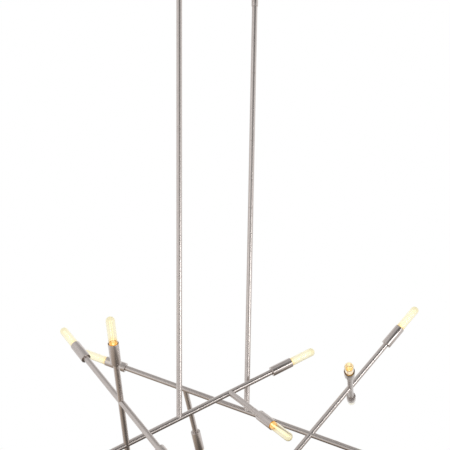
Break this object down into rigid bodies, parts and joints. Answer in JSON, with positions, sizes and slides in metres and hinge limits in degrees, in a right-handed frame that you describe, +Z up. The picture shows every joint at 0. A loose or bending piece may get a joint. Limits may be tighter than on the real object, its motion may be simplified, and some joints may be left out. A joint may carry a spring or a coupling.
{
  "type": "sputnik chandelier",
  "caption": "Ceiling light of two clusters of crossing slim tubes, each hung from its own stem on a swivel, with a cup and a clear tubular bulb on every tube end.",
  "frame": {"origin": "centre of the canopy's rim at the ceiling, on the middle of the two box screw holes", "axes": "+Z up into the ceiling; +X along the canopy from the left stem to the right stem; -Y towards the side that the picture shows"},
  "size_m": [0.858, 0.621, 1.2171],
  "materials": {
    "nickel": "satin nickel",
    "zinc_steel": "zinc plated",
    "green_screw": "green dyed",
    "bulb_glass": "clear",
    "phenolic": "matt",
    "cap_brass": "plain",
    "filament": "matt"
  },
  "bodies": {
    "canopy": {"canopy_shell": "nickel", "mounting_strap": "zinc_steel", "canopy_studs": "zinc_steel", "cap_nuts": "nickel", "ground_screw": "green_screw", "swivel_hubs": "nickel", "hub_nuts": "zinc_steel"},
    "left_swivel": {"left_swivel_yoke": "nickel", "left_knuckle_pin": "nickel"},
    "right_swivel": {"right_swivel_yoke": "nickel", "right_knuckle_pin": "nickel"},
    "left_cluster": {"left_stem_collar": "nickel", "left_upper_rod": "nickel", "left_lower_rod": "nickel", "left_couplers": "zinc_steel", "left_bar": "nickel", "left_branch": "nickel", "left_cross_arm": "nickel", "left_outer_arm": "nickel", "cup_left_bar_foot": "nickel", "cup_left_bar_top": "nickel", "cup_left_branch": "nickel", "cup_left_cross_top": "nickel", "cup_left_cross_foot": "nickel", "cup_left_outer_top": "nickel", "cup_left_outer_foot": "nickel", "bulb_left_bar_foot": "bulb_glass", "bulb_left_bar_top": "bulb_glass", "bulb_left_branch": "bulb_glass", "bulb_left_cross_top": "bulb_glass", "bulb_left_cross_foot": "bulb_glass", "bulb_left_outer_top": "bulb_glass", "bulb_left_outer_foot": "bulb_glass", "left_lampholders": "phenolic", "left_lamp_caps": "cap_brass", "left_filaments": "filament"},
    "right_cluster": {"right_stem_collar": "nickel", "right_rods": "nickel", "right_couplers": "zinc_steel", "right_bar": "nickel", "right_branch": "nickel", "right_cross_arm": "nickel", "right_outer_arm": "nickel", "cup_right_bar_top": "nickel", "cup_right_bar_foot": "nickel", "cup_right_branch": "nickel", "cup_right_cross_top": "nickel", "cup_right_cross_foot": "nickel", "cup_right_outer_top": "nickel", "cup_right_outer_foot": "nickel", "bulb_right_bar_top": "bulb_glass", "bulb_right_bar_foot": "bulb_glass", "bulb_right_branch": "bulb_glass", "bulb_right_cross_top": "bulb_glass", "bulb_right_cross_foot": "bulb_glass", "bulb_right_outer_top": "bulb_glass", "bulb_right_outer_foot": "bulb_glass", "right_lampholders": "phenolic", "right_lamp_caps": "cap_brass", "right_filaments": "filament"}
  },
  "joints": [
    {"name": "left_turn", "type": "hinge", "parent": "canopy", "child": "left_swivel", "pos_m": [-0.0935, 0, -0.0234], "axis": [0, 0, 1], "range_deg": [-15, 1]},
    {"name": "left_swing", "type": "hinge", "parent": "left_swivel", "child": "left_cluster", "pos_m": [-0.0935, 0, -0.044], "axis": [0, 1, 0], "range_deg": [-0.5, 1.5]},
    {"name": "right_turn", "type": "hinge", "parent": "canopy", "child": "right_swivel", "pos_m": [0.0935, 0, -0.0234], "axis": [0, 0, 1], "range_deg": [-10, 3]},
    {"name": "right_swing", "type": "hinge", "parent": "right_swivel", "child": "right_cluster", "pos_m": [0.0935, 0, -0.044], "axis": [0, 1, 0], "range_deg": [-1.5, 0.5]}
  ]
}
